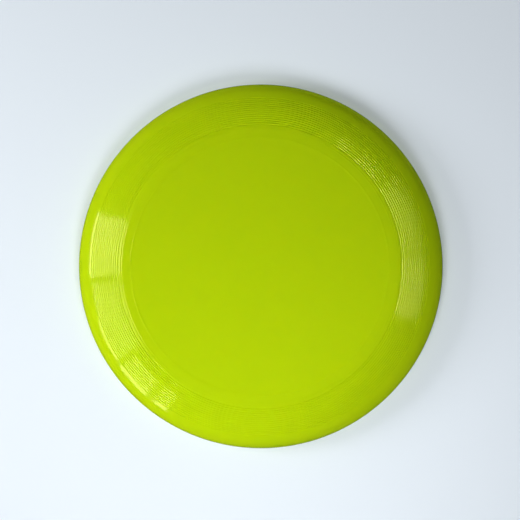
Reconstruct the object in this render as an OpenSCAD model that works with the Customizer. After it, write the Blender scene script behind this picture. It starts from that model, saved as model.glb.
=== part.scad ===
// One-piece flying disc, moulded in a single shot of soft polyethylene.
// It lies on the foot of its rim: +Z runs up the spin axis, out of the top of the flight plate.
// The origin is on the spin axis, in the plane of the foot. Lengths are in millimetres.
//
// The whole disc is one turned outline. Down its outside run four arcs that meet on common
// tangents: the crown of the plate, the shoulder, the nose and the foot. Angles called slopes
// are measured from the plate's plane, 0 where the surface faces up and 90 at the widest point.

/* [Overall] */
// Outside diameter, at the widest point of the rim
disc_d = 274; // [220:1:330]
// Height from the foot of the rim to the top of the crown
disc_h = 32; // [26:0.5:40]

/* [Flight plate] */
// Wall thickness of the flight plate and the shoulder
plate_t = 1.9; // [1.5:0.1:3]
// Rise of the middle of the plate above its edge
crown_h = 1.2; // [0.6:0.1:2.5]
// Width of the low bead round the edge of the plate
bead_w = 1; // [0.6:0.1:3]
// Height of that bead
bead_h = 0.05; // [0.03:0.01:0.2]

/* [Shoulder] */
// Radial distance from the edge of the plate to the widest point
shoulder_w = 40.9; // [30:0.1:50]
// Slope at which the shoulder's arc gives way to the tighter arc of the nose
shoulder_end = 33; // [25:1:42]

/* [Flight rings] */
// Distance along the shoulder from the edge of the plate to the first ring
ring_inset = 6.4; // [3:0.1:15]
// Smooth length of shoulder left outside the last ring
ring_margin = 3; // [1:0.5:8]
// Spacing of the rings along the shoulder
ring_pitch = 1.66; // [1.4:0.01:3]
// Number of rings, counted from the inside, that are low ribs instead of grooves
rib_count = 2; // [1:1:4]
// Width of one rib
rib_w = 1.3; // [0.8:0.1:1.4]
// Height of one rib
rib_h = 0.065; // [0.03:0.005:0.2]
// Width of one ring groove at its mouth
groove_w = 0.9; // [0.5:0.05:1.3]
// Depth of one ring groove
groove_depth = 0.35; // [0.1:0.02:0.5]

/* [Rim] */
// Thickness of the rim at its widest point
rim_w = 6.6; // [5:0.1:9]
// Height of the widest point above the foot
widest_h = 7; // [5:0.1:10]
// Radius of the foot's outer corner
foot_r = 3.6; // [2:0.1:5]
// Width of the flat that the disc rests on
foot_land = 1.0; // [0.5:0.1:2]
// Radius between the inside wall of the rim and the underside of the shoulder
root_r = 6; // [3:0.5:10]

/* [Injection gate] */
// Diameter of the shallow well round the gate, under the middle of the plate
gate_well_d = 14; // [8:0.5:20]
// Depth of that well
gate_well_h = 0.4; // [0.2:0.1:0.8]
// Diameter of the stub left where the gate was trimmed
gate_stub_d = 3; // [2:0.5:6]
// Height of the stub above the floor of the well
gate_stub_h = 0.3; // [0.1:0.1:0.6]

/* [Hidden] */
$fn = 180;

// Steps in each drawn arc, by how far it turns
crown_steps = 6;
shoulder_steps = 22;
nose_steps = 20;
tuck_steps = 4;
foot_steps = 12;

plate_r = disc_d / 2 - shoulder_w;
crown_r = (plate_r * plate_r + crown_h * crown_h) / (2 * crown_h);
plate_edge_slope = asin(plate_r / crown_r);
plate_edge_z = disc_h - crown_h;

// The shoulder and the nose each turn through a known angle, and together they cover the width
// and the drop from the plate's edge to the widest point: two linear equations for their radii.
shoulder_run = sin(shoulder_end) - sin(plate_edge_slope);
shoulder_fall = cos(plate_edge_slope) - cos(shoulder_end);
nose_run = 1 - sin(shoulder_end);
nose_fall = cos(shoulder_end);
drop = plate_edge_z - widest_h;
det = shoulder_run * nose_fall - nose_run * shoulder_fall;
shoulder_r = (shoulder_w * nose_fall - nose_run * drop) / det;
nose_r = (shoulder_run * drop - shoulder_fall * shoulder_w) / det;

// The nose carries on under the widest point until it meets the foot's corner on a tangent.
tuck = asin((widest_h - foot_r) / (nose_r - foot_r));

crown_c = [0, disc_h - crown_r];
shoulder_c = [plate_r, plate_edge_z] - shoulder_r * up_at(plate_edge_slope);
nose_c = [disc_d / 2 - nose_r, widest_h];
foot_c = nose_c + (nose_r - foot_r) * up_at(90 + tuck);

// Inside the rim: a straight wall, rounded into the land below and into the underside above.
inside_r = disc_d / 2 - rim_w;
foot_in_r = foot_c[0] - foot_land - inside_r;
root_slope = asin((inside_r - root_r - shoulder_c[0]) / (shoulder_r - plate_t - root_r));
root_c = shoulder_c + (shoulder_r - plate_t - root_r) * up_at(root_slope);

// The rings follow the shoulder at an even spacing, as many as its length holds.
shoulder_len = shoulder_r * (shoulder_end - plate_edge_slope) * PI / 180;
ring_count = floor((shoulder_len - ring_inset - ring_margin) / ring_pitch) + 1;

// The direction that a surface of this slope faces, in the half plane of the outline.
function up_at(slope) = [sin(slope), cos(slope)];

// Points along an arc about a centre, from one slope to another.
function arc(centre, radius, from, to, steps) =
    [for (i = [0:steps]) centre + radius * up_at(from + (to - from) * i / steps)];

// The slope of the shoulder at a distance along it from the plate's edge.
function shoulder_slope(along) = plate_edge_slope + along / shoulder_r * 180 / PI;

// The radius of a circle that cuts a chord of this width at this depth.
function chord_r(width, depth) = (width * width / 4 + depth * depth) / (2 * depth);

// The solid section, from the axis out along the top, round the foot and back underneath.
module section() {
    polygon(concat(
        arc(crown_c, crown_r, 0, plate_edge_slope, crown_steps),
        arc(shoulder_c, shoulder_r, plate_edge_slope, shoulder_end, shoulder_steps),
        arc(nose_c, nose_r, shoulder_end, 90, nose_steps),
        arc(nose_c, nose_r, 90, 90 + tuck, tuck_steps),
        arc(foot_c, foot_r, 90 + tuck, 180, foot_steps),
        arc([inside_r + foot_in_r, foot_in_r], foot_in_r, 180, 270, foot_steps),
        arc(root_c, root_r, 90, root_slope, foot_steps),
        arc(shoulder_c, shoulder_r - plate_t, root_slope, plate_edge_slope, shoulder_steps),
        arc(crown_c, crown_r - plate_t, plate_edge_slope, 0, crown_steps)
    ));
}

// A low rib that stands out of the surface: the cap of a circle. Below the surface the circle
// is cut off square, inside the thickness of the wall.
module low_rib(place, slope, width, height) {
    radius = chord_r(width, height);
    translate(place)
        rotate(-slope)
            intersection() {
                translate([0, height - radius])
                    circle(radius);
                translate([-width, -plate_t / 2])
                    square([2 * width, plate_t / 2 + width]);
            }
}

// The bead that marks the edge of the plate.
module edge_bead() {
    low_rib([plate_r, plate_edge_z], plate_edge_slope, bead_w, bead_h);
}

// The rib at a distance along the shoulder from the plate's edge.
module ring_rib(along) {
    slope = shoulder_slope(along);
    low_rib(shoulder_c + shoulder_r * up_at(slope), slope, rib_w, rib_h);
}

// A groove of V section at a distance along the shoulder. Its sides run on above the surface.
module ring_groove(along) {
    slope = shoulder_slope(along);
    translate(shoulder_c + shoulder_r * up_at(slope))
        rotate(-slope)
            polygon([[0, -groove_depth], [groove_w, groove_depth], [-groove_w, groove_depth]]);
}

// The well round the gate, with its trimmed stub left standing in it.
module gate_well() {
    floor_z = disc_h - plate_t + gate_well_h;
    difference() {
        translate([0, 0, floor_z - 2 * gate_well_h])
            cylinder(h = 2 * gate_well_h, d = gate_well_d);
        translate([0, 0, floor_z - gate_stub_h])
            cylinder(h = 2 * gate_stub_h, d = gate_stub_d);
    }
}

module disc() {
    color("#b0d40c")
        difference() {
            union() {
                rotate_extrude()
                    difference() {
                        section();
                        for (i = [rib_count:ring_count - 1])
                            ring_groove(ring_inset + i * ring_pitch);
                    }
                for (i = [0:rib_count - 1])
                    rotate_extrude()
                        ring_rib(ring_inset + i * ring_pitch);
                rotate_extrude()
                    edge_bead();
            }
            gate_well();
        }
}

disc();
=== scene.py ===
"""A one-piece moulded flying disc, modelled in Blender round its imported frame.

The disc lies on the foot of its rim, with +Z up its spin axis, and it is one moulding, so it is
one piece here. Sizes are named in millimetres and slopes in degrees. What Blender gets is in
metres, in the frame's own axes.
"""

import logging
import math
from dataclasses import dataclass, field
from enum import Enum

import bpy
from mathutils import Matrix, Vector


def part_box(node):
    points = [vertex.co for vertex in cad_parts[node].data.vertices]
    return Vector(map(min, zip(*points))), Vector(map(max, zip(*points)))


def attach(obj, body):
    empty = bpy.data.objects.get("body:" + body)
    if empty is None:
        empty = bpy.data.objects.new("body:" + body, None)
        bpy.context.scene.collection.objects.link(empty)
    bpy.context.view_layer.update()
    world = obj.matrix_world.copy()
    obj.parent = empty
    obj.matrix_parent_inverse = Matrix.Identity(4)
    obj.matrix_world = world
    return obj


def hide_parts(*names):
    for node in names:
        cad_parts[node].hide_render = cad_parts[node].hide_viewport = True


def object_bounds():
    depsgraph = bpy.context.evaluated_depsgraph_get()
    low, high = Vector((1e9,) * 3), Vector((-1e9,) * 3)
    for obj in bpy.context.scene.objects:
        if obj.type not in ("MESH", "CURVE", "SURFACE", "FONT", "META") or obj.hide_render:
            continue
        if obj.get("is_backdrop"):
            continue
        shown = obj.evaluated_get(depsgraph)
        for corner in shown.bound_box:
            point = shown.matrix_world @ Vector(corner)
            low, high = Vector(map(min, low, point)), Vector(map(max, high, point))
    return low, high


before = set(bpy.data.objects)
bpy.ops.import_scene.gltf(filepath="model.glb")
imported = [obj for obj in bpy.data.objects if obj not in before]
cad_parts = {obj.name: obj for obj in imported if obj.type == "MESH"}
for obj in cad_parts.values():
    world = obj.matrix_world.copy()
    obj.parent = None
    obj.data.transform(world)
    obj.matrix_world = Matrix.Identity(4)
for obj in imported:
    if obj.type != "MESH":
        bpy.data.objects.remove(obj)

MM = 0.001
log = logging.getLogger("flying_disc")

# How far apart the outline's points lie, in millimetres along it.
CROWN_STEP = 6.0
PLATE_STEP = 1.5
SMOOTH_STEP = 0.8
STRIP_STEP = 0.6
BEAD_STEP = 0.1
FLASH_STEP = 0.125
FOOT_STEP = 0.6
HEEL_STEP = 0.4
UNDER_SHOULDER_STEP = 1.6
# How close two of the skin's points must be to become one.
WELD_MM = 0.002


# Shared helpers


def linear_rgba(hex_colour: str) -> tuple[float, float, float, float]:
    """Turns an sRGB hex colour into the linear colour that Blender's sockets take.

    Args:
        hex_colour: The colour as "#rrggbb".

    Returns:
        Red, green, blue and an alpha of 1, all linear.
    """

    def channel(start: int) -> float:
        """Returns one linear channel, read from two hex digits."""
        value = int(hex_colour[start:start + 2], 16) / 255
        return value / 12.92 if value <= 0.04045 else ((value + 0.055) / 1.055) ** 2.4

    return channel(1), channel(3), channel(5), 1.0


def add_node(
    tree: bpy.types.NodeTree,
    kind: str,
    settings: dict | None = None,
    values: dict | None = None,
    links: dict | None = None,
) -> bpy.types.Node:
    """Adds one shader node with its settings, its constant values and its incoming links.

    Args:
        tree: The node tree that gets the node.
        kind: Blender's name for the kind of node.
        settings: Node properties, by name.
        values: Constant input values, by socket name or index.
        links: Output sockets to join to inputs, by input name or index.

    Returns:
        The new node.
    """
    node = tree.nodes.new(kind)
    for name, setting in (settings or {}).items():
        setattr(node, name, setting)
    for name, value in (values or {}).items():
        node.inputs[name].default_value = value
    for name, source in (links or {}).items():
        tree.links.new(source, node.inputs[name])
    return node


def deselect_all() -> None:
    """Leaves nothing selected, so that an operator acts only on what is selected next."""
    bpy.ops.object.select_all(action="DESELECT")


def activate(piece: bpy.types.Object) -> None:
    """Selects one object alone and makes it the active one.

    Args:
        piece: The object that the next operator acts on.
    """
    deselect_all()
    piece.select_set(True)
    bpy.context.view_layer.objects.active = piece


# Outline of the disc


def facing(slope: float) -> Vector:
    """Works out the direction that a surface of this slope faces.

    Args:
        slope: Angle from the plate's plane in degrees: 0 faces up and 90 faces outwards.

    Returns:
        A direction one long, as radius and height.
    """
    return Vector((math.sin(math.radians(slope)), math.cos(math.radians(slope))))


@dataclass(frozen=True)
class Arc:
    """One arc of the outline, in millimetres of radius from the axis and height above the foot."""

    centre: Vector
    radius: float
    start: float
    end: float

    @property
    def length(self) -> float:
        """Length of the arc."""
        return self.radius * math.radians(abs(self.end - self.start))

    def slope_at(self, along: float) -> float:
        """Returns the slope at a distance along the arc from its start."""
        return self.start + (self.end - self.start) * along / self.length

    def point(self, slope: float) -> Vector:
        """Returns the arc's point where its surface has this slope."""
        return self.centre + self.radius * facing(slope)

    def points(self, spacing: float) -> list[Vector]:
        """Draws evenly spaced points from the start of the arc to its end.

        Args:
            spacing: The furthest that two of them may lie apart.

        Returns:
            The points, both ends among them.
        """
        steps = max(2, math.ceil(self.length / spacing))
        turn = (self.end - self.start) / steps
        return [self.point(self.start + turn * i) for i in range(steps + 1)]


@dataclass
class DiscSection:
    """The disc's solid section, in millimetres and degrees.

    The first fields are its driving sizes. The others follow from them, and the arcs join without
    a corner.
    """

    disc_d: float
    disc_h: float
    plate_t: float = 1.9
    crown_h: float = 1.2
    bead_w: float = 1.0
    bead_h: float = 0.05
    shoulder_w: float = 40.9
    shoulder_end: float = 33.0
    ring_inset: float = 6.4
    ring_margin: float = 3.0
    ring_pitch: float = 1.66
    rib_count: int = 2
    rib_w: float = 1.3
    rib_h: float = 0.065
    groove_w: float = 0.9
    groove_depth: float = 0.35
    groove_toe: float = 0.09
    wall_bend: float = 0.2
    lip_r: float = 0.06
    rim_w: float = 6.6
    widest_h: float = 7.0
    foot_r: float = 3.6
    foot_land: float = 1.0
    root_r: float = 6.0
    flash_w: float = 0.5
    flash_h: float = 0.04
    gate_well_d: float = 14.0
    gate_well_h: float = 0.4
    gate_stub_d: float = 3.0
    gate_stub_h: float = 0.3
    gate_fillet: float = 0.15

    plate_r: float = field(init=False)
    inside_r: float = field(init=False)
    crown: Arc = field(init=False)
    shoulder: Arc = field(init=False)
    nose: Arc = field(init=False)
    foot: Arc = field(init=False)
    heel: Arc = field(init=False)
    root: Arc = field(init=False)
    under_shoulder: Arc = field(init=False)
    under_crown: Arc = field(init=False)
    ring_places: list[float] = field(init=False)

    def __post_init__(self) -> None:
        """Works out the radii, the arcs and the places of the rings."""
        disc_r = self.disc_d / 2 - self.flash_h
        self.plate_r = disc_r - self.shoulder_w
        crown_r = (self.plate_r**2 + self.crown_h**2) / (2 * self.crown_h)
        edge_slope = math.degrees(math.asin(self.plate_r / crown_r))
        plate_edge_z = self.disc_h - self.crown_h
        # The shoulder and the nose cover the width and the drop from the plate's edge to the
        # widest point between them, which gives two linear equations for their radii.
        edge, end = facing(edge_slope), facing(self.shoulder_end)
        shoulder_run, shoulder_fall = end.x - edge.x, edge.y - end.y
        nose_run, nose_fall = 1 - end.x, end.y
        drop = plate_edge_z - self.widest_h
        det = shoulder_run * nose_fall - nose_run * shoulder_fall
        shoulder_r = (self.shoulder_w * nose_fall - nose_run * drop) / det
        nose_r = (shoulder_run * drop - shoulder_fall * self.shoulder_w) / det
        tuck = math.degrees(math.asin((self.widest_h - self.foot_r) / (nose_r - self.foot_r)))

        crown_c = Vector((0, self.disc_h - crown_r))
        shoulder_c = Vector((self.plate_r, plate_edge_z)) - shoulder_r * edge
        nose_c = Vector((disc_r - nose_r, self.widest_h))
        foot_c = nose_c + (nose_r - self.foot_r) * facing(90 + tuck)
        self.crown = Arc(crown_c, crown_r, 0, edge_slope)
        self.shoulder = Arc(shoulder_c, shoulder_r, edge_slope, self.shoulder_end)
        self.nose = Arc(nose_c, nose_r, self.shoulder_end, 90 + tuck)
        self.foot = Arc(foot_c, self.foot_r, 90 + tuck, 180)

        self.inside_r = disc_r - self.rim_w
        heel_r = foot_c.x - self.foot_land - self.inside_r
        under_r = shoulder_r - self.plate_t
        root_reach = under_r - self.root_r
        root_slope = math.degrees(
            math.asin((self.inside_r - self.root_r - shoulder_c.x) / root_reach)
        )
        root_c = shoulder_c + root_reach * facing(root_slope)
        self.heel = Arc(Vector((self.inside_r + heel_r, heel_r)), heel_r, 180, 270)
        self.root = Arc(root_c, self.root_r, 90, root_slope)
        self.under_shoulder = Arc(shoulder_c, under_r, root_slope, edge_slope)
        self.under_crown = Arc(crown_c, crown_r - self.plate_t, edge_slope, 0)

        room = self.shoulder.length - self.ring_inset - self.ring_margin
        ring_count = math.floor(room / self.ring_pitch) + 1
        self.ring_places = [self.ring_inset + i * self.ring_pitch for i in range(ring_count)]

    @staticmethod
    def cap(distance: float, width: float) -> float:
        """Returns the height, from 0 to 1, of a low round-topped rib of this width."""
        return max(0.0, 1 - (2 * distance / width) ** 2)

    @staticmethod
    def swell(distance: float, width: float) -> float:
        """Works out the height of a swelling that rises out of the surface without an edge.

        Args:
            distance: How far the place is from the swelling's middle.
            width: The swelling's whole width.

        Returns:
            The height there, from 0 to 1.
        """
        if abs(distance) >= width / 2:
            return 0.0
        return 0.5 + 0.5 * math.cos(2 * math.pi * distance / width)

    @staticmethod
    def notch(distance: float, width: float) -> float:
        """Works out the depth of a groove whose walls ease towards a narrow flat bottom.

        Args:
            distance: How far the place is from the groove's middle.
            width: The groove's width at its mouth.

        Returns:
            The depth there, from 0 to 1.
        """
        mouth_steepness, easing = 1.34, 0.31
        into = 1 - 2 * abs(distance) / width
        if into <= 0:
            return 0.0
        return min(1.0, mouth_steepness * into - easing * into**2)

    def relief(self, along: float) -> float:
        """Works out how far the show side stands out from its arcs.

        Args:
            along: Distance from the axis along the show side, in millimetres.

        Returns:
            The height above the arcs in millimetres, below zero in a groove.
        """
        from_edge = along - self.crown.length
        from_widest = along - self.widest_along
        rings = 0.0
        for number, place in enumerate(self.ring_places):
            if number < self.rib_count:
                rings += self.rib_h * self.cap(from_edge - place, self.rib_w)
            else:
                rings -= self.groove_depth * self.notch(from_edge - place, self.groove_w)
        return (
            rings
            + self.bead_h * self.cap(from_edge, self.bead_w)
            + self.flash_h * self.swell(from_widest, self.flash_w)
        )

    @property
    def widest_along(self) -> float:
        """Distance from the axis to the widest point, along the show side."""
        bend = math.radians(90 - self.shoulder_end)
        return self.crown.length + self.shoulder.length + self.nose.radius * bend

    @property
    def groove_cuts(self) -> list[float]:
        """Distances from a groove's middle at which its outline bends, from the outside in."""
        half, lip, toe = self.groove_w / 2, self.lip_r, self.groove_toe
        return [half + lip, half, half - lip, half - self.wall_bend, toe, toe / 3]

    @property
    def rib_cuts(self) -> list[float]:
        """Distances from a rib's middle at which its outline bends, from the outside in."""
        half, lip = self.rib_w / 2, self.lip_r
        return [half + lip, half, half - lip, half * 0.6, half * 0.3]

    def show_side(self) -> list[Vector]:
        """Draws the top and the outside, closer together where the surface bends more.

        Returns:
            The points from the axis to the foot, in millimetres.
        """
        edge = self.crown.length
        bead, flash = self.bead_w / 2, self.flash_w / 2
        finer_from = 84.0
        first_ring = edge + self.ring_inset - self.ring_pitch / 2
        rings_end = edge + self.ring_places[-1] + self.ring_pitch / 2
        nose_start = edge + self.shoulder.length
        widest = self.widest_along
        stretches = [
            (0, finer_from, CROWN_STEP),
            (finer_from, edge - bead, PLATE_STEP),
            (edge - bead, edge + bead, BEAD_STEP),
            (edge + bead, first_ring, SMOOTH_STEP),
        ]
        for number, place in enumerate(self.ring_places):
            middle, reach = edge + place, self.ring_pitch / 2
            cuts = self.rib_cuts if number < self.rib_count else self.groove_cuts
            stops = [-reach, *(-cut for cut in cuts), *reversed(cuts), reach]
            stretches += [
                (middle + here, middle + there, self.ring_pitch)
                for here, there in zip(stops, stops[1:])
            ]
        stretches += [
            (rings_end, nose_start, STRIP_STEP),
            (nose_start, widest - flash, SMOOTH_STEP),
            (widest - flash, widest + flash, FLASH_STEP),
            (widest + flash, nose_start + self.nose.length, SMOOTH_STEP),
        ]
        places = [0.0]
        for start, stop, spacing in stretches:
            steps = max(1, round((stop - start) / spacing))
            places += [start + (stop - start) * (i + 1) / steps for i in range(steps)]
        return [self.show_point(along) for along in places]

    def show_point(self, along: float) -> Vector:
        """Finds one point of the show side, relief and all.

        Args:
            along: Distance from the axis along the show side, in millimetres.

        Returns:
            The point's radius and height, in millimetres.
        """
        place = along
        for arc in (self.crown, self.shoulder):
            if place <= arc.length:
                break
            place -= arc.length
        else:
            arc = self.nose
        slope = arc.slope_at(place)
        return arc.point(slope) + self.relief(along) * facing(slope)

    def core_side(self) -> list[Vector]:
        """Draws the foot, the inside wall, the underside and the gate.

        Returns:
            The points from the nose's end back to the axis, in millimetres.
        """
        wall_foot, wall_top = self.heel.centre.y, self.root.centre.y
        wall = [
            Vector((self.inside_r, wall_foot + (wall_top - wall_foot) * share))
            for share in (0.25, 0.5, 0.75)
        ]
        clear_of_well = self.gate_well_d / 2 + 1
        under = [p for p in self.under_crown.points(CROWN_STEP) if p.x > clear_of_well]
        return (
            self.foot.points(FOOT_STEP)
            + self.heel.points(HEEL_STEP)
            + wall
            + self.root.points(SMOOTH_STEP)
            + self.under_shoulder.points(UNDER_SHOULDER_STEP)[1:]
            + under[1:]
            + self.gate()
        )

    def gate(self) -> list[Vector]:
        """Draws the well round the gate and the trimmed stub in it, down to the axis.

        Returns:
            The points from the well's edge to the axis, in millimetres.
        """
        well_r, stub_r, fillet = self.gate_well_d / 2, self.gate_stub_d / 2, self.gate_fillet
        ceiling_z = self.under_crown.point(0).y
        floor_z = self.disc_h - self.plate_t + self.gate_well_h
        stub_z = floor_z - self.gate_stub_h
        return [
            Vector((well_r + fillet, ceiling_z)),
            Vector((well_r, ceiling_z + fillet)),
            Vector((well_r - fillet, floor_z)),
            Vector((stub_r + fillet, floor_z)),
            Vector((stub_r, floor_z - fillet / 2)),
            Vector((stub_r - fillet, stub_z)),
            Vector((0, stub_z)),
        ]


# Finish of the plastic


@dataclass(frozen=True)
class MouldedPolyethylene:
    """Low-density polyethylene, pigmented and injection moulded: waxy, soft and slightly see-in.

    The pigment is a daylight-fluorescent yellow-green, which is why it looks so saturated. Light
    sinks about two millimetres into the plastic and comes back out, so that fine grooves read
    softer than on a hard plastic. The mould's polish sets the gloss. Colours are sRGB hex.
    """

    name: str
    pigment: str = "#bcd60a"
    thin_pigment: str = "#c0d80c"
    gloss_tint: str = "#fff092"
    roughness: float = 0.08
    haze: float = 0.015
    ior: float = 1.51
    see_in_mm: float = 2.2
    see_in_rgb: tuple[float, float, float] = (1.0, 1.0, 0.3)
    see_in_share: float = 0.9
    flow_mm: float = 30.0
    grain_mm: float = 0.7
    grain_height_mm: float = 0.002
    peel_mm: float = 5.0
    peel_height_mm: float = 0.004

    def build(self) -> bpy.types.Material:
        """Makes the material.

        Returns:
            The finished material, whose patterns lie on the piece's own coordinates.
        """
        material = bpy.data.materials.new(self.name)
        material.use_nodes = True
        tree = material.node_tree
        tree.nodes.clear()
        place = add_node(tree, "ShaderNodeTexCoord").outputs["Object"]

        def cloud(size_mm: float, detail: float) -> bpy.types.NodeSocket:
            """Adds soft random patches.

            Args:
                size_mm: About how wide one patch is.
                detail: How many finer layers are mixed in.

            Returns:
                The socket that gives the patches, from 0 to 1.
            """
            node = add_node(
                tree, "ShaderNodeTexNoise",
                values={"Scale": 1 / (size_mm * MM), "Detail": detail, "Roughness": 0.5},
                links={"Vector": place},
            )
            return node.outputs["Fac"]

        # Pigment thins a little where the melt flowed last, in broad patches.
        colour = add_node(
            tree, "ShaderNodeMix", {"data_type": "RGBA"},
            {6: linear_rgba(self.pigment), 7: linear_rgba(self.thin_pigment)},
            {0: cloud(self.flow_mm, 2.0)},
        )
        # The mould's polish is patchy over a few centimetres and grainy close up.
        haze = add_node(
            tree, "ShaderNodeMapRange",
            values={"To Min": self.roughness - self.haze, "To Max": self.roughness + self.haze},
            links={"Value": cloud(self.flow_mm / 2, 4.0)},
        )
        peel = add_node(
            tree, "ShaderNodeBump",
            values={"Strength": 1.0, "Distance": self.peel_height_mm * MM},
            links={"Height": cloud(self.peel_mm, 1.0)},
        )
        grain = add_node(
            tree, "ShaderNodeBump",
            values={"Strength": 1.0, "Distance": self.grain_height_mm * MM},
            links={"Height": cloud(self.grain_mm, 1.0), "Normal": peel.outputs["Normal"]},
        )
        plastic = add_node(
            tree, "ShaderNodeBsdfPrincipled",
            {"subsurface_method": "RANDOM_WALK"},
            {
                "IOR": self.ior,
                "Specular Tint": linear_rgba(self.gloss_tint),
                "Subsurface Weight": self.see_in_share,
                "Subsurface Radius": self.see_in_rgb,
                "Subsurface Scale": self.see_in_mm * MM,
            },
            {
                "Base Color": colour.outputs[2],
                "Roughness": haze.outputs["Result"],
                "Normal": grain.outputs["Normal"],
            },
        )
        add_node(
            tree, "ShaderNodeOutputMaterial", links={"Surface": plastic.outputs["BSDF"]}
        )
        return material


# The moulding


class Side(Enum):
    """The two faces of the mould, each with its number among the disc's material slots."""

    SHOW = 0
    CORE = 1


@dataclass
class MouldedDisc:
    """The whole disc: flight plate, rings, rim and foot, turned as one closed skin."""

    section: DiscSection
    steps_round: int = 300
    name: str = "moulded_disc"

    def build(self) -> bpy.types.Object:
        """Models the disc and puts it in the place of its CAD solid.

        Returns:
            The finished piece.
        """
        piece = self.draw_outline()
        self.turn(piece)
        self.dress(piece)
        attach(piece, "root")
        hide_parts("disc")
        return piece

    def draw_outline(self) -> bpy.types.Object:
        """Draws the half section as one chain of edges, from the axis round to the axis.

        Returns:
            The object that holds the chain, in the plane of X and Z.
        """
        outline = self.section.show_side() + self.section.core_side()[1:]
        start = Vector((outline[0].x, 0, outline[0].y)) * MM
        deselect_all()
        bpy.ops.mesh.primitive_circle_add(vertices=3, radius=MM)
        piece = bpy.context.object
        piece.name = piece.data.name = self.name
        bpy.ops.object.mode_set(mode="EDIT")
        bpy.ops.mesh.select_all(action="SELECT")
        bpy.ops.mesh.merge(type="CENTER")
        bpy.ops.transform.translate(value=start)
        for here, there in zip(outline, outline[1:]):
            step = (there - here) * MM
            bpy.ops.mesh.extrude_vertices_move(
                TRANSFORM_OT_translate={"value": (step.x, 0, step.y)}
            )
        bpy.ops.object.mode_set(mode="OBJECT")
        return piece

    def turn(self, piece: bpy.types.Object) -> None:
        """Spins the outline into a closed skin whose faces point outwards.

        Args:
            piece: The object that holds the outline.
        """
        activate(piece)
        bpy.ops.object.mode_set(mode="EDIT")
        bpy.ops.mesh.select_all(action="SELECT")
        bpy.ops.mesh.spin(
            steps=self.steps_round, angle=math.tau, center=(0, 0, 0), axis=(0, 0, 1)
        )
        bpy.ops.mesh.select_all(action="SELECT")
        bpy.ops.mesh.remove_doubles(threshold=WELD_MM * MM)
        bpy.ops.mesh.normals_make_consistent(inside=False)
        bpy.ops.mesh.select_mode(type="FACE")
        bpy.ops.mesh.select_all(action="DESELECT")
        bpy.ops.object.mode_set(mode="OBJECT")
        bpy.ops.object.shade_smooth()

    def dress(self, piece: bpy.types.Object) -> None:
        """Gives the show side and the core side their finishes.

        Args:
            piece: The turned disc.
        """
        finishes = {
            Side.SHOW: MouldedPolyethylene("polyethylene_polished_mould"),
            Side.CORE: MouldedPolyethylene("polyethylene_satin_core", roughness=0.36),
        }
        for side in Side:
            piece.data.materials.append(finishes[side].build())
        for face in piece.data.polygons:
            radius = math.hypot(face.center.x, face.center.y) / MM
            face.select = self.is_core(radius, face.center.z / MM)
        activate(piece)
        piece.active_material_index = Side.CORE.value
        bpy.ops.object.mode_set(mode="EDIT")
        bpy.ops.object.material_slot_assign()
        bpy.ops.object.mode_set(mode="OBJECT")

    def is_core(self, radius: float, height: float) -> bool:
        """Tells whether a place on the skin was moulded by the core.

        Args:
            radius: Distance from the axis, in millimetres.
            height: Height above the foot, in millimetres.

        Returns:
            True on the inside wall and the underside, false on the foot and the show side.
        """
        section, slack = self.section, 0.01
        if radius > section.heel.centre.x:
            return False
        if radius >= section.inside_r - slack:
            return height < section.root.centre.y
        arc = section.crown if radius <= section.plate_r else section.shoulder
        middle_r = arc.radius - section.plate_t / 2
        middle_z = arc.centre.y + math.sqrt(middle_r**2 - (radius - arc.centre.x) ** 2)
        return height < middle_z


# The studio


class Lights(Enum):
    """Which of the plastic's two looks a lamp makes."""

    COLOUR = "colour"
    GLOSS = "gloss"


def add_area_lamp(
    name: str,
    place: Vector,
    towards: Vector,
    size: tuple[float, float],
    radiance: float,
    lights: Lights,
) -> bpy.types.Object:
    """Adds a white rectangular area lamp that the camera itself doesn't see.

    Args:
        name: The lamp's name.
        place: Its middle.
        towards: The direction that it shines in.
        size: Its width and height, in metres.
        radiance: Brightness of its face.
        lights: Whether it lights the plastic's colour or is mirrored by its gloss.

    Returns:
        The lamp.
    """
    width, height = size
    lamp = bpy.data.lights.new(name, "AREA")
    lamp.shape = "RECTANGLE"
    lamp.size, lamp.size_y = width, height
    lamp.energy = radiance * math.pi * width * height
    holder = bpy.data.objects.new(name, lamp)
    bpy.context.scene.collection.objects.link(holder)
    holder.location = place
    holder.rotation_euler = towards.to_track_quat("-Z", "Y").to_euler()
    holder.visible_camera = False
    holder.visible_diffuse = lights is Lights.COLOUR
    holder.visible_glossy = lights is Lights.GLOSS
    return holder


@dataclass(frozen=True)
class StandingPanel:
    """An upright soft panel beside the disc, which its gloss shows as a bright pane.

    Azimuths are counted in degrees from +X towards +Y. The slopes are those of the surface that
    mirrors the panel's upper and lower edges straight up. Lengths are in metres.
    """

    name: str
    azimuths: tuple[float, float]
    slopes: tuple[float, float]
    radiance: float
    distance: float = 2.6

    def build(self) -> bpy.types.Object:
        """Adds the panel as an area lamp that stands upright and faces the disc's axis.

        Returns:
            The lamp.
        """
        start, end = (math.radians(azimuth) for azimuth in self.azimuths)
        top, bottom = (
            self.distance / math.tan(math.radians(2 * slope)) for slope in self.slopes
        )
        outwards = Vector((math.cos((start + end) / 2), math.sin((start + end) / 2), 0))
        place = outwards * self.distance
        place.z = (top + bottom) / 2
        size = 2 * self.distance * math.tan((end - start) / 2), top - bottom
        return add_area_lamp(self.name, place, -outwards, size, self.radiance, Lights.GLOSS)


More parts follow.
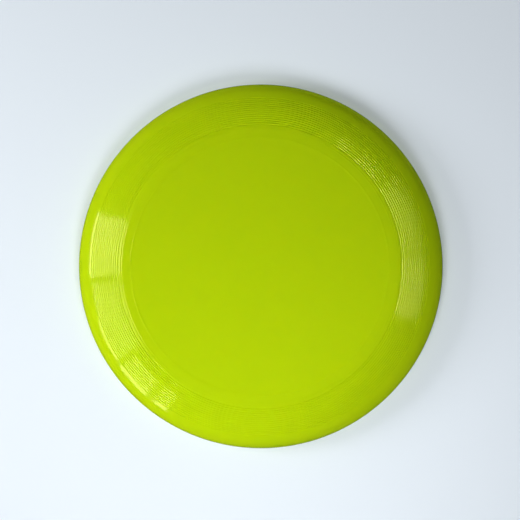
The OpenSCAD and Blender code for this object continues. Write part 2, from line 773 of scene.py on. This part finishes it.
@dataclass(frozen=True)
class SoftLamp:
    """A square soft lamp that lights the plastic's colour and stays out of its gloss.

    Angles are in degrees: the azimuth from +X towards +Y, and the lean from straight above the
    disc. Lengths are in metres.
    """

    name: str
    azimuth: float
    lean: float
    distance: float
    size: float
    radiance: float

    def build(self) -> bpy.types.Object:
        """Adds the lamp, aimed at the disc.

        Returns:
            The lamp.
        """
        azimuth, lean = math.radians(self.azimuth), math.radians(self.lean)
        across = math.sin(lean)
        back = Vector((math.cos(azimuth) * across, math.sin(azimuth) * across, math.cos(lean)))
        size = self.size, self.size
        return add_area_lamp(
            self.name, back * self.distance, -back, size, self.radiance, Lights.COLOUR
        )


@dataclass(frozen=True)
class Viewpoint:
    """The camera, almost straight above the disc. Lengths are in metres and leans in degrees.

    The lean is how far the camera is tilted over from the disc's axis, towards -X and -Y where
    it is above zero. The view is as wide as stated at the point that the camera aims at.
    """

    distance: float = 1.65
    lean_x: float = -1.39
    lean_y: float = -0.25
    aim: tuple[float, float, float] = (-0.00038, 0.00483, 0.007)
    view_w: float = 0.3917
    sensor_mm: float = 36.0

    def build(self) -> bpy.types.Object:
        """Adds the camera and makes it the scene's own.

        Returns:
            The camera.
        """
        lean_x, lean_y = math.radians(self.lean_x), math.radians(self.lean_y)
        back = Vector((-math.sin(lean_x), -math.sin(lean_y), 1)).normalized()
        right = Vector((0, 1, 0)).cross(back).normalized()
        up = back.cross(right)
        lens = bpy.data.cameras.new("camera")
        camera = bpy.data.objects.new("camera", lens)
        bpy.context.scene.collection.objects.link(camera)
        camera.location = Vector(self.aim) + back * self.distance
        camera.rotation_euler = Matrix((right, up, back)).transposed().to_euler()
        lens.sensor_width = self.sensor_mm
        lens.lens = self.sensor_mm * self.distance / self.view_w
        lens.clip_start, lens.clip_end = 0.05, 50.0
        lens.dof.use_dof = False
        bpy.context.scene.camera = camera
        return camera


@dataclass
class Studio:
    """A plain pale floor under plain soft light, and the camera over the show side.

    The ambience is the strength of the pale room round the floor, as matt surfaces receive it
    and, dimmer, as gloss mirrors it.
    """

    panels: list[StandingPanel]
    lamps: list[SoftLamp]
    viewpoint: Viewpoint = Viewpoint()
    floor_colour: str = "#c9d1d8"
    floor_glow: float = 0.3
    glow_colour: str = "#eef4fa"
    floor_size: float = 12.0
    floor_gap: float = 0.02 * MM
    room_colour: str = "#dfe9f1"
    ambience: float = 0.16
    mirrored_ambience: float = 0.03

    def build(self) -> None:
        """Builds the floor, the light, the room and the camera."""
        self.add_floor()
        for light in (*self.panels, *self.lamps):
            light.build()
        self.add_room()
        self.viewpoint.build()
        bpy.context.scene.view_settings.view_transform = "Standard"

    def add_floor(self) -> None:
        """Adds the floor that the disc lies on."""
        deselect_all()
        bpy.ops.mesh.primitive_plane_add(size=self.floor_size, location=(0, 0, -self.floor_gap))
        floor = bpy.context.object
        floor.name = floor.data.name = "floor"
        floor.data.materials.append(self.table_acrylic())
        floor.visible_glossy = False
        floor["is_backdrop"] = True

    def table_acrylic(self) -> bpy.types.Material:
        """Makes the matt white acrylic of a lit product table, which glows a little evenly.

        Returns:
            The floor's material.
        """
        material = bpy.data.materials.new("lit_table_acrylic")
        material.use_nodes = True
        acrylic = material.node_tree.nodes["Principled BSDF"]
        acrylic.inputs["Base Color"].default_value = linear_rgba(self.floor_colour)
        acrylic.inputs["Roughness"].default_value = 0.9
        acrylic.inputs["Specular IOR Level"].default_value = 0.1
        acrylic.inputs["Emission Color"].default_value = linear_rgba(self.glow_colour)
        acrylic.inputs["Emission Strength"].default_value = self.floor_glow
        return material

    def add_room(self) -> None:
        """Adds the pale room: bright to the camera, dim to matt surfaces, dimmer in the gloss."""
        world = bpy.data.worlds.new("pale_room")
        bpy.context.scene.world = world
        world.use_nodes = True
        tree = world.node_tree
        tree.nodes.clear()
        path = add_node(tree, "ShaderNodeLightPath")
        seen = add_node(
            tree, "ShaderNodeMapRange",
            values={"To Min": self.ambience, "To Max": 1.0},
            links={"Value": path.outputs["Is Camera Ray"]},
        )
        strength = add_node(
            tree, "ShaderNodeMath", {"operation": "MULTIPLY_ADD"},
            {1: self.mirrored_ambience - self.ambience},
            {0: path.outputs["Is Glossy Ray"], 2: seen.outputs["Result"]},
        )
        room = add_node(
            tree, "ShaderNodeBackground", values={"Color": linear_rgba(self.room_colour)},
            links={"Strength": strength.outputs["Value"]},
        )
        add_node(tree, "ShaderNodeOutputWorld", links={"Surface": room.outputs["Background"]})


def main() -> None:
    """Builds the disc and its studio."""
    logging.basicConfig(level=logging.INFO, format="%(name)s: %(message)s")
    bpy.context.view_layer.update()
    low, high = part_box("disc")
    section = DiscSection(
        disc_d=min(high.x - low.x, high.y - low.y) / MM,
        disc_h=(high.z - low.z) / MM,
    )
    disc = MouldedDisc(section).build()
    log.info("%s: %d faces", disc.name, len(disc.data.polygons))

    panels = [
        StandingPanel("pane_1", azimuths=(162.5, 184.0), slopes=(12.3, 34.1), radiance=9.0),
        StandingPanel("pane_2_top", azimuths=(186.0, 212.5), slopes=(12.3, 15.5), radiance=4.4),
        StandingPanel("pane_2_left", azimuths=(186.0, 199.0), slopes=(15.5, 33.0), radiance=6.5),
        StandingPanel("pane_2_right", azimuths=(199.0, 212.5), slopes=(15.5, 34.8), radiance=6.5),
        StandingPanel("pane_3", azimuths=(215.0, 227.5), slopes=(20.5, 36.0), radiance=6.4),
        StandingPanel("pane_4", azimuths=(230.5, 236.0), slopes=(20.5, 36.0), radiance=6.4),
    ]
    lamps = [
        SoftLamp("left_key", azimuth=180, lean=60, distance=1.0, size=0.4, radiance=12.2),
        SoftLamp("near_key", azimuth=270, lean=30, distance=0.5, size=0.2, radiance=10.9),
        SoftLamp("far_fill", azimuth=90, lean=80, distance=2.5, size=1.0, radiance=2.3),
    ]
    Studio(panels=panels, lamps=lamps).build()
    log.info("studio: %d panels and %d lamps", len(panels), len(lamps))

    low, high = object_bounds()


if __name__ == "__main__":
    main()
